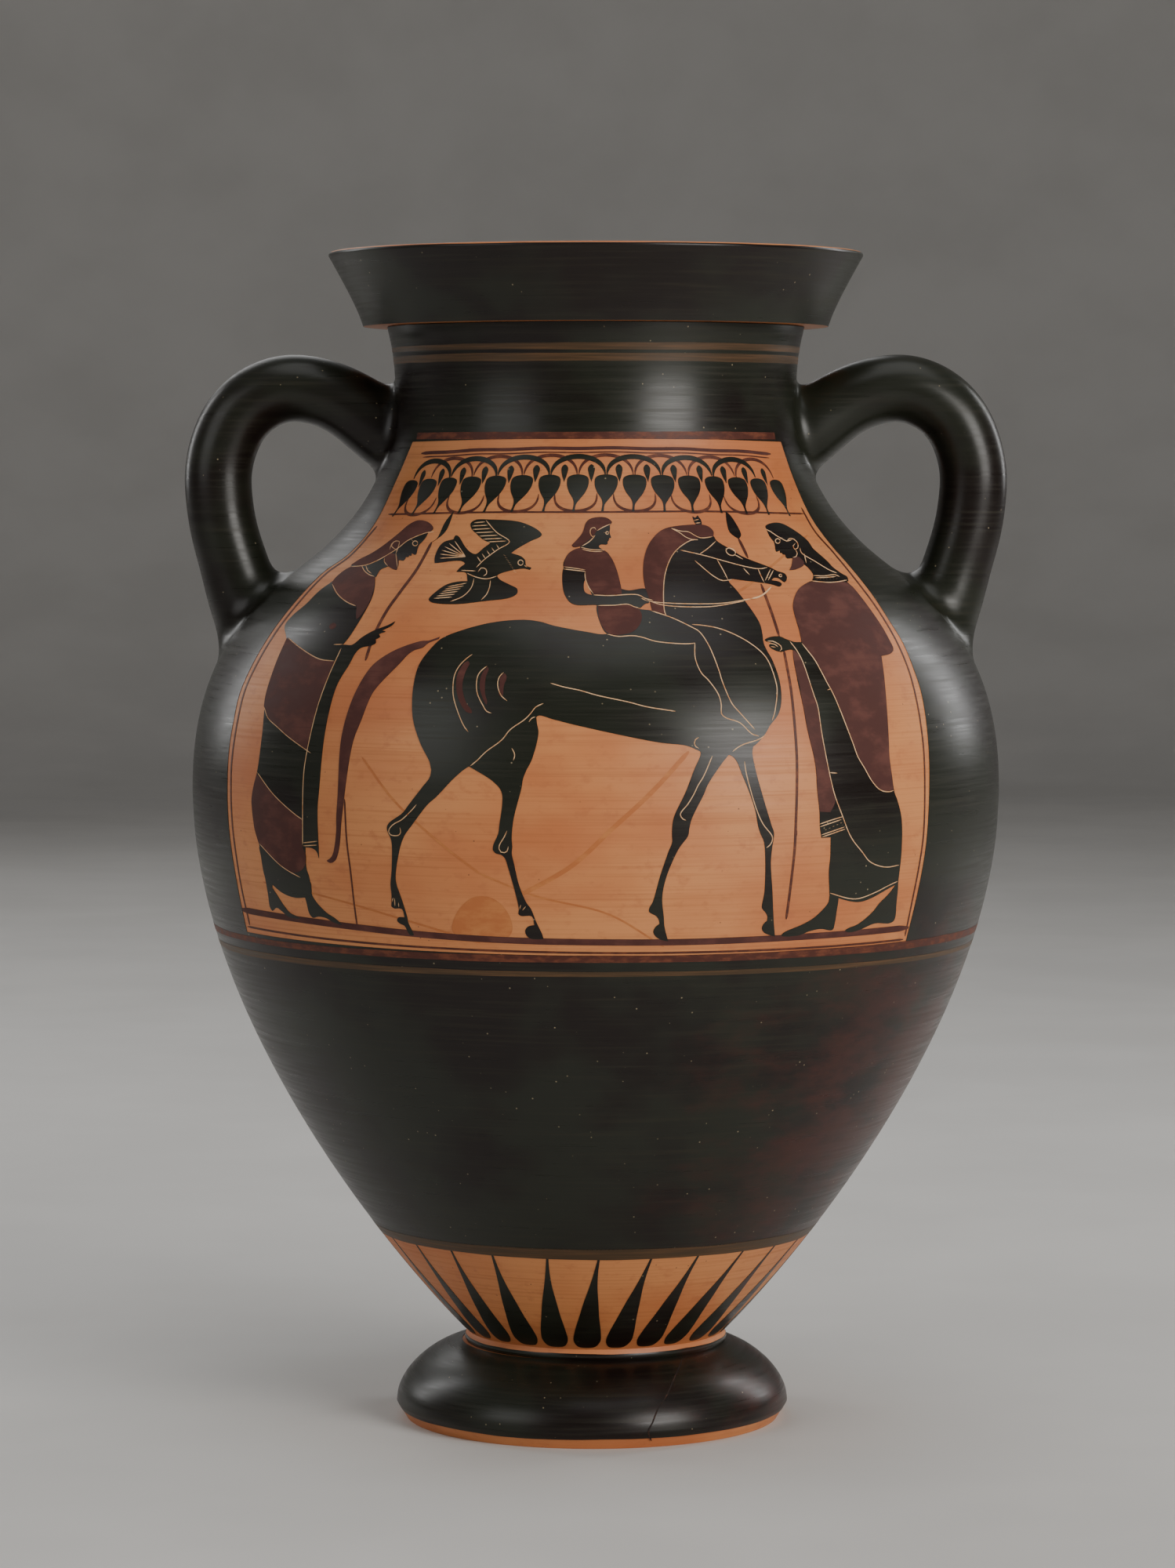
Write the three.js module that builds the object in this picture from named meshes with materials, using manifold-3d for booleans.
// A panel amphora: a wheel-thrown two-handled storage and serving jar of fired clay.
// It stands on its foot at z = 0, with the axis of the wheel on +Z and the handles on the X axis.
// Every size is in millimetres. The jar is built as a potter builds it: thrown sections stacked
// on one another, a foot made apart and luted on, a clay fillet over that join, and two pulled
// handles whose ends are pressed on the neck and the shoulder.
import * as THREE from "three";
import { mergeVertices } from "three/addons/utils/BufferGeometryUtils.js";
import Module from "manifold-3d";

const wasm = await Module();
wasm.setup();

// Heights of the sections, each measured from the top of the one below it.
const footHeight = 27; // from the ground to the seat of the body
const lowerBodyHeight = 196; // from the seat to the widest girth
const shoulderHeight = 76.5; // from the widest girth to the root of the neck
const neckRise = 63.5; // from the root of the neck to its waist
const neckFlareHeight = 21.2; // from the waist to the underside of the mouth
const mouthHeight = 25.8;

// Radii of the outside.
const bodyBaseRadius = 42;
const bellyRadius = 141.6;
const neckRadius = 70.2; // at the waist
const neckRootSpread = 34.3; // the root of the neck is this much wider than the waist
const neckFlare = 2.8; // and its top this much
const mouthOverhang = 8.3; // step from the neck out to the underside of the mouth
const mouthFlare = 12.1; // from there out to the rim
const footRadius = 69.1;
const footUndercut = 3.3; // the ground edge of the foot stands in by this much
const footOffset = -1.3; // the foot was luted on slightly to one side of the wheel axis

// Fullness of the outside: how far each curve keeps the direction it starts or ends with.
const baseLean = 36.5; // the wall leaves its seat at 45 degrees
const bellyEaseBelow = 76;
const bellyEaseAbove = 36;
const shoulderSlope = THREE.MathUtils.degToRad(36.2); // pitch of the wall at the root of the neck
const shoulderEase = 30.4;
const neckRootEase = 24.3;
const waistEaseBelow = 31;
const waistEaseAbove = 8;
const neckTopEase = 5.4;

// Clay thicknesses and the small forms of the lip, foot and fillet.
const wall = 6;
const floorThickness = 8;
const floorFlat = 12; // radius of the even floor inside, at the axis
const floorCurveStart = 17; // the floor curves into the wall this far up from the seat
const floorEase = 4;
const lipWidth = 6.5;
const lipRound = 1.2;
const footEdgeRise = 5.5; // height of the foot's widest line
const footShoulderEase = 9.2; // roundness of the foot's shoulder, upwards
const footTopEase = 11.5; // and outwards from its top
const footTopFall = 1.4;
const restingWidth = 9; // width of the ring that touches the ground
const footHollowDepth = 13;
const footHollowFlat = 20;
const footHollowEase = 14; // roundness of the hollow's top
const filletWidth = 4;
const filletHeight = 3.4;
const filletRound = 0.8;

// Handles: where each end is pressed on, and the loop between them.
const upperRootRise = 47.1; // above the root of the neck
const lowerRootDrop = 15.4; // below it
const crestOut = 33.7; // top of the loop, out from the upper end
const crestUp = 16.1; // and above it
const gripOut = 11.1; // outermost line of the loop, out from the lower end
const gripRise = 45.6; // and above it
const handleRadius = 11.9;
const rootSwell = 0.19; // the ends are thicker by this share, where the clay is smeared on
const rootSwellLength = 17;

const jointGap = 0.3; // between two pieces that touch

// Fineness of the turned and drawn shapes, in straight steps.
const turnSegments = 48; // round the wheel axis
const lowerSteps = 13; // up each stretch of the outside
const shoulderSteps = 8;
const neckSteps = 7;
const neckTopSteps = 3;
const barSides = 20;
const barSteps = 30;
const lineSamples = 300; // points along a handle's centre line for measuring

// Levels and radii that follow from the sizes above.
const bellyLevel = footHeight + lowerBodyHeight;
const neckRootLevel = bellyLevel + shoulderHeight;
const waistLevel = neckRootLevel + neckRise;
const mouthLevel = waistLevel + neckFlareHeight;
const rimLevel = mouthLevel + mouthHeight;
const neckRootRadius = neckRadius + neckRootSpread;
const neckTopRadius = neckRadius + neckFlare;
const mouthBaseRadius = neckTopRadius + mouthOverhang;
const rimRadius = mouthBaseRadius + mouthFlare;
const boreRadius = neckTopRadius - wall;
const footTopRadius = bodyBaseRadius + filletWidth;

// The curves are Bezier curves. Where a corner of one is a share of a span, the share sets how
// full the curve is, and it follows the span.
const at = (radius, level) => new THREE.Vector2(radius, level);
const bezier = (...corners) => new THREE.CubicBezierCurve(...corners);
const slope = at(-Math.cos(shoulderSlope), Math.sin(shoulderSlope));

// Outline of the outside, from the seat on the foot to the top of the neck.
const lowerCurve = bezier(
  at(bodyBaseRadius, footHeight),
  at(bodyBaseRadius + baseLean, footHeight + baseLean),
  at(bellyRadius, bellyLevel - bellyEaseBelow),
  at(bellyRadius, bellyLevel),
);
const neckRoot = at(neckRootRadius, neckRootLevel);
const shoulderCurve = bezier(
  at(bellyRadius, bellyLevel),
  at(bellyRadius, bellyLevel + bellyEaseAbove),
  neckRoot.clone().addScaledVector(slope, -shoulderEase),
  neckRoot,
);
const neckCurve = bezier(
  neckRoot,
  neckRoot.clone().addScaledVector(slope, neckRootEase),
  at(neckRadius, waistLevel - waistEaseBelow),
  at(neckRadius, waistLevel),
);
const neckTopCurve = bezier(
  at(neckRadius, waistLevel),
  at(neckRadius, waistLevel + waistEaseAbove),
  at(neckTopRadius - neckTopEase * 0.3, mouthLevel - neckTopEase),
  at(neckTopRadius, mouthLevel),
);

// The points of a stretch of wall, moved square to it by offset: 0 is the outside, and a
// negative offset lies in the clay. start and end leave that much off its two ends.
function wallPoints(curve, count, offset, start = 0, end = 0) {
  const length = curve.getLength();
  const points = [];
  for (let i = 0; i <= count; i++) {
    const share = THREE.MathUtils.lerp(start / length, 1 - end / length, i / count);
    const along = curve.getTangentAt(share);
    const point = curve.getPointAt(share);
    points.push(at(point.x + along.y * offset, point.y - along.x * offset));
  }
  return points;
}

// A ring or bowl turned from its outline, which runs up the outside and down the inside.
function turned(outline) {
  const geometry = new THREE.LatheGeometry(outline, turnSegments);
  return geometry.rotateX(Math.PI / 2);
}

// A band of wall with the same thickness everywhere, closed by flat joint faces.
function turnedBand(outside, inside) {
  return turned([...outside, ...inside.reverse(), outside[0]]);
}

function lowerBody() {
  const outside = wallPoints(lowerCurve, lowerSteps, 0, 0, jointGap / 2);
  const inside = wallPoints(lowerCurve, lowerSteps - 2, -wall, floorCurveStart, jointGap / 2);
  const floorLevel = footHeight + floorThickness;
  const edge = inside[0];
  const bowl = bezier(
    at(floorFlat, floorLevel),
    at(THREE.MathUtils.lerp(floorFlat, edge.x, 0.6), floorLevel),
    at(edge.x - floorEase, edge.y - floorEase),
    edge,
  ).getPoints(4);
  bowl.pop();
  return turned([at(0, footHeight), ...outside, ...inside.reverse(), ...bowl.reverse(), at(0, floorLevel)]);
}

function upperBody() {
  const outside = wallPoints(shoulderCurve, shoulderSteps, 0, jointGap / 2, jointGap / 2);
  const inside = wallPoints(shoulderCurve, shoulderSteps - 1, -wall, jointGap / 2, jointGap / 2);
  return turnedBand(outside, inside);
}

function neck() {
  const outside = [
    ...wallPoints(neckCurve, neckSteps, 0, jointGap / 2),
    ...wallPoints(neckTopCurve, neckTopSteps, 0, 0, jointGap).slice(1),
  ];
  const top = at(boreRadius, outside.at(-1).y);
  const inside = wallPoints(neckCurve, neckSteps - 1, -wall, jointGap / 2);
  return turnedBand(outside, [...inside, top]);
}

function mouth() {
  const outside = bezier(
    at(mouthBaseRadius, mouthLevel),
    at(mouthBaseRadius + mouthFlare * 0.17, mouthLevel + mouthHeight * 0.26),
    at(rimRadius - mouthFlare * 0.43, rimLevel - lipRound - mouthHeight * 0.36),
    at(rimRadius, rimLevel - lipRound),
  ).getPoints(6);
  const lipInside = rimRadius - lipWidth;
  const inside = bezier(
    at(boreRadius, mouthLevel),
    at(boreRadius + mouthFlare * 0.17, mouthLevel + mouthHeight * 0.4),
    at(lipInside - mouthFlare * 0.4, rimLevel - lipRound - mouthHeight * 0.27),
    at(lipInside, rimLevel - lipRound),
  ).getPoints(5);
  const lip = [at(rimRadius - lipRound, rimLevel), at(lipInside + lipRound, rimLevel)];
  return turned([...outside, ...lip, ...inside.reverse(), outside[0]]);
}

function foot() {
  const top = footHeight - jointGap;
  const widest = at(footRadius, footEdgeRise);
  const echinus = bezier(
    widest,
    at(footRadius, footEdgeRise + footShoulderEase),
    at(footTopRadius + footTopEase, top - footTopFall),
    at(footTopRadius, top),
  ).getPoints(8);
  const ground = at(footRadius - footUndercut, 0);
  const ringInside = ground.x - restingWidth;
  const hollow = bezier(
    at(ringInside, 0),
    at(ringInside, footHollowDepth * 0.5),
    at(footHollowFlat + footHollowEase, footHollowDepth),
    at(footHollowFlat, footHollowDepth),
  ).getPoints(5);
  return turned([at(0, footHollowDepth), ...hollow.reverse(), ground, ...echinus, at(0, top)]);
}

// The fillet lies in the corner between the wall and the top of the foot, clear of both by the gap.
function footFillet() {
  const covered = filletHeight * Math.SQRT2;
  const wallSide = wallPoints(lowerCurve, 2, jointGap, jointGap, lowerCurve.getLength() - covered);
  const [inner, , top] = wallSide;
  const outerRadius = bodyBaseRadius + filletWidth;
  const bulge = bezier(
    at(outerRadius - filletRound, footHeight),
    at(outerRadius + filletRound / 2, footHeight + filletHeight * 0.15),
    at(outerRadius + filletRound / 2, top.y - filletHeight * 0.15),
    top,
  ).getPoints(4);
  return turned([inner, ...bulge, inner]);
}

// three.js geometry as a manifold solid, and back.
function solid(geometry) {
  const bare = geometry.clone();
  bare.deleteAttribute("normal");
  bare.deleteAttribute("uv");
  const merged = mergeVertices(bare, 1e-4);
  return new wasm.Manifold(
    new wasm.Mesh({
      numProp: 3,
      vertProperties: new Float32Array(merged.attributes.position.array),
      triVerts: new Uint32Array(merged.index.array),
    }),
  );
}

function geometryOf(manifold) {
  const mesh = manifold.getMesh();
  const geometry = new THREE.BufferGeometry();
  geometry.setAttribute("position", new THREE.BufferAttribute(mesh.vertProperties, 3));
  geometry.setIndex(new THREE.BufferAttribute(mesh.triVerts, 1));
  geometry.computeVertexNormals();
  return geometry;
}

// The space the jar fills, a joint gap larger all round, up to the underside of the mouth. It
// has the same corners as the wall, so a piece cut by it keeps an even gap.
function jarSpace() {
  const outside = [
    ...wallPoints(lowerCurve, lowerSteps, jointGap),
    ...wallPoints(shoulderCurve, shoulderSteps, jointGap, jointGap / 2, jointGap / 2),
    ...wallPoints(neckCurve, neckSteps, jointGap, jointGap / 2),
    ...wallPoints(neckTopCurve, neckTopSteps, jointGap).slice(1),
  ];
  return solid(turned([at(0, outside[0].y), ...outside, at(0, outside.at(-1).y)]));
}

// Radius of the outside at a level of the shoulder or neck.
function outsideRadius(curve, level) {
  let low = 0;
  let high = 1;
  for (let i = 0; i < 30; i++) {
    const middle = (low + high) / 2;
    if (curve.getPoint(middle).y < level) low = middle;
    else high = middle;
  }
  return curve.getPoint(low).x;
}

// The centre line of a handle, in the XZ plane: out of the neck, over the crest, down to the
// shoulder. A short straight run at each end reaches into the wall, where the bar is cut off.
function handleLine() {
  const upperLevel = neckRootLevel + upperRootRise;
  const lowerLevel = neckRootLevel - lowerRootDrop;
  const place = (x, z) => new THREE.Vector3(x, 0, z);
  const upper = place(outsideRadius(neckCurve, upperLevel), upperLevel);
  const lower = place(outsideRadius(shoulderCurve, lowerLevel), lowerLevel);
  const crest = place(upper.x + crestOut, upper.z + crestUp);
  const grip = place(lower.x + gripOut, lower.z + gripRise);
  const leave = place(upper.x + crestOut * 0.31, upper.z + crestUp * 0.51);
  const beforeCrest = place(crest.x - crestOut * 0.38, crest.z);
  const afterCrest = place(crest.x + (grip.x - crest.x) * 0.58, crest.z);
  const beforeGrip = place(grip.x, grip.z + (crest.z - grip.z) * 0.58);
  const afterGrip = place(grip.x, grip.z - gripRise * 0.33);
  const arrive = place(lower.x + gripOut * 0.42, lower.z + gripRise * 0.3);
  const line = new THREE.CurvePath();
  line.add(new THREE.LineCurve3(upper.clone().lerp(leave, -0.9), upper));
  line.add(new THREE.CubicBezierCurve3(upper, leave, beforeCrest, crest));
  line.add(new THREE.CubicBezierCurve3(crest, afterCrest, beforeGrip, grip));
  line.add(new THREE.CubicBezierCurve3(grip, afterGrip, arrive, lower));
  line.add(new THREE.LineCurve3(lower, lower.clone().lerp(arrive, -0.8)));
  return line;
}

// A round bar along the line, thicker towards both ends, cut where it meets the jar.
function handle(space) {
  const line = handleLine();
  const circle = new THREE.EllipseCurve(0, 0, handleRadius, handleRadius).getPoints(barSides);
  const options = { steps: barSteps, bevelEnabled: false, extrudePath: line };
  const bar = new THREE.ExtrudeGeometry(new THREE.Shape(circle), options);
  const length = line.getLength();
  const stations = line.getSpacedPoints(lineSamples);
  const corners = bar.attributes.position;
  const corner = new THREE.Vector3();
  for (let i = 0; i < corners.count; i++) {
    corner.fromBufferAttribute(corners, i);
    const distances = stations.map((station) => station.distanceToSquared(corner));
    const nearest = distances.indexOf(Math.min(...distances));
    const along = (nearest / lineSamples) * length;
    const fromEnd = Math.min(along, length - along);
    const swell = 1 + rootSwell * Math.exp(-((fromEnd / rootSwellLength) ** 2));
    corner.sub(stations[nearest]).multiplyScalar(swell).add(stations[nearest]);
    corners.setXYZ(i, corner.x, corner.y, corner.z);
  }
  return geometryOf(solid(bar).subtract(space));
}

const blackGloss = { color: 0x26231f, roughness: 0.42, metalness: 0 };
const bareClay = { color: 0xa8613c, roughness: 0.75, metalness: 0 };

function piece(name, geometry, finish) {
  const mesh = new THREE.Mesh(geometry, new THREE.MeshStandardMaterial(finish));
  mesh.name = name;
  return mesh;
}

const amphora = new THREE.Group();
const footPiece = piece("foot", foot(), blackGloss);
footPiece.position.x = footOffset;
amphora.add(footPiece);
amphora.add(piece("foot_fillet", footFillet(), bareClay));
amphora.add(piece("lower_body", lowerBody(), blackGloss));
amphora.add(piece("upper_body", upperBody(), blackGloss));
amphora.add(piece("neck", neck(), blackGloss));
amphora.add(piece("mouth", mouth(), blackGloss));

const handleGeometry = handle(jarSpace());
amphora.add(piece("right_handle", handleGeometry, blackGloss));
const leftHandle = piece("left_handle", handleGeometry.clone(), blackGloss);
leftHandle.rotation.z = Math.PI;
amphora.add(leftHandle);

export default amphora;
